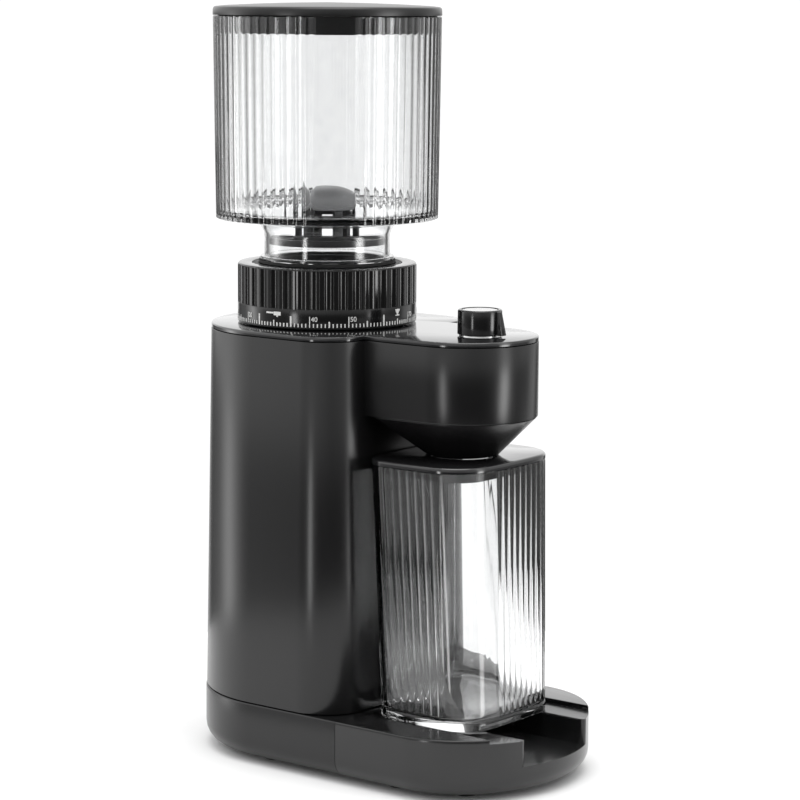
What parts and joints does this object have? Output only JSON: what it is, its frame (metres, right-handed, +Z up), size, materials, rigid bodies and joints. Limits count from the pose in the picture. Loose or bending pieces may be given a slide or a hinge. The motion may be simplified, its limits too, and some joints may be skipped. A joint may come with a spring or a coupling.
{
  "type": "burr coffee grinder",
  "caption": "Free-standing electric burr coffee grinder with a fluted clear bean hopper, a grind dial on a motor column, a discharge head with a knob, and a fluted clear jar on a tray base.",
  "frame": {"origin": "centre of the footprint, on the surface that the feet stand on", "axes": "+Z up, -Y the front where the jar stands, X across the machine's mirror plane"},
  "size_m": [0.136, 0.231, 0.415],
  "materials": {
    "housing_plastic": "satin charcoal moulding with a fine grain",
    "cover_plastic": "satin-gloss charcoal moulding",
    "inner_plastic": "plain black moulding",
    "foot_rubber": "matt black rubber",
    "fastener_steel": "zinc-plated steel",
    "bright_trim": "polished",
    "zinc_metal": "plain die-cast or drawn metal",
    "knob_plastic": "glossy black",
    "button_metal": "light grey satin metal with a turned grain",
    "bearing_steel": "ground steel",
    "magnet_ferrite": "dark ferrite",
    "carbon": "carbon",
    "lamination_steel": "stacked sheet steel",
    "copper_wire": "enamelled copper",
    "brass_gear": "machined brass",
    "circuit_board": "green board",
    "gear_nylon": "white nylon",
    "burr_steel": "hardened steel",
    "dial_plastic": "satin black moulding with a white printed scale",
    "clear_plastic": "clear fluted plastic",
    "guard_plastic": "glossy dark grey",
    "lid_plastic": "glossy black"
  },
  "bodies": {
    "housing": {"base_shell": "housing_plastic", "front_tray": "housing_plastic", "bottom_plate": "inner_plastic", "rubber_feet": "foot_rubber", "plate_screws": "fastener_steel", "cord_gland": "foot_rubber", "main_housing": "housing_plastic", "top_cover": "cover_plastic", "head_housing": "housing_plastic", "discharge_funnel": "housing_plastic", "grounds_chute": "inner_plastic", "knob_collar": "bright_trim", "knob_encoder": "zinc_metal", "motor_plate": "inner_plastic", "motor_damper": "foot_rubber", "motor_can": "zinc_metal", "motor_end_cap": "inner_plastic", "motor_bearings": "bearing_steel", "motor_magnets": "magnet_ferrite", "motor_brushes": "carbon", "motor_screws": "fastener_steel", "control_board": "circuit_board", "board_components": "inner_plastic", "gear_housing": "inner_plastic", "shaft_bearings": "bearing_steel", "chamber_standoffs": "zinc_metal", "grind_chamber": "inner_plastic", "chamber_screws": "fastener_steel", "shaft_seal": "foot_rubber", "hopper_throat": "inner_plastic"},
    "grind_spindle": {"burr_shaft": "bearing_steel", "drive_gear": "gear_nylon", "grounds_sweeper": "inner_plastic", "cone_burr": "burr_steel", "feed_screw": "burr_steel", "burr_nut": "fastener_steel"},
    "motor_rotor": {"motor_shaft": "bearing_steel", "rotor_core": "lamination_steel", "rotor_windings": "copper_wire", "commutator": "copper_wire", "cooling_fan": "inner_plastic", "pinion_gear": "brass_gear"},
    "dial": {"adjusting_dial": "dial_plastic"},
    "upper_burr": {"burr_carrier": "inner_plastic", "ring_burr": "burr_steel"},
    "hopper": {"bean_hopper": "clear_plastic", "hopper_neck": "clear_plastic", "hopper_gasket": "foot_rubber", "finger_guard": "guard_plastic"},
    "hopper_cover": {"hopper_lid": "lid_plastic"},
    "knob": {"selector_knob": "knob_plastic", "encoder_shaft": "zinc_metal"},
    "button": {"start_button": "button_metal"},
    "jar": {"grounds_jar": "clear_plastic", "jar_lid": "lid_plastic"}
  },
  "joints": [
    {"name": "dial_turn", "type": "hinge", "parent": "housing", "child": "dial", "pos_m": [0, 0.0475, 0.2564], "axis": [0, 0, 1], "range_deg": [-190, 167]},
    {"name": "burr_adjust", "type": "slide", "parent": "housing", "child": "upper_burr", "axis": [0, 0, 1], "range_m": [-0.0008, 0.0009]},
    {"name": "spindle_spin", "type": "hinge", "parent": "housing", "child": "grind_spindle", "pos_m": [0, 0.0475, 0.2], "axis": [0, 0, 1], "continuous": true},
    {"name": "motor_spin", "type": "hinge", "parent": "housing", "child": "motor_rotor", "pos_m": [0, 0.0775, 0.12], "axis": [0, 0, 1], "continuous": true},
    {"name": "hopper_lift", "type": "slide", "parent": "housing", "child": "hopper", "axis": [0, 0, 1], "range_m": [0, 0.06]},
    {"name": "hopper_lid_lift", "type": "slide", "parent": "hopper", "child": "hopper_cover", "axis": [0, 0, 1], "range_m": [0, 0.05]},
    {"name": "knob_turn", "type": "hinge", "parent": "housing", "child": "knob", "pos_m": [0, -0.0578, 0.247], "axis": [0, 0, 1], "range_deg": [-150, 150]},
    {"name": "button_press", "type": "slide", "parent": "knob", "child": "button", "axis": [0, 0, -1], "range_m": [0, 0.001], "stiffness_N_per_m": 800, "springref_m": -0.0008},
    {"name": "jar_slide", "type": "slide", "parent": "housing", "child": "jar", "axis": [0, -1, 0], "range_m": [0, 0.11]}
  ],
  "couplings": [
    {"joint": "burr_adjust", "follows": "dial_turn", "m_per_rad": -0.00026738},
    {"joint": "motor_spin", "follows": "spindle_spin", "ratio": -4}
  ]
}
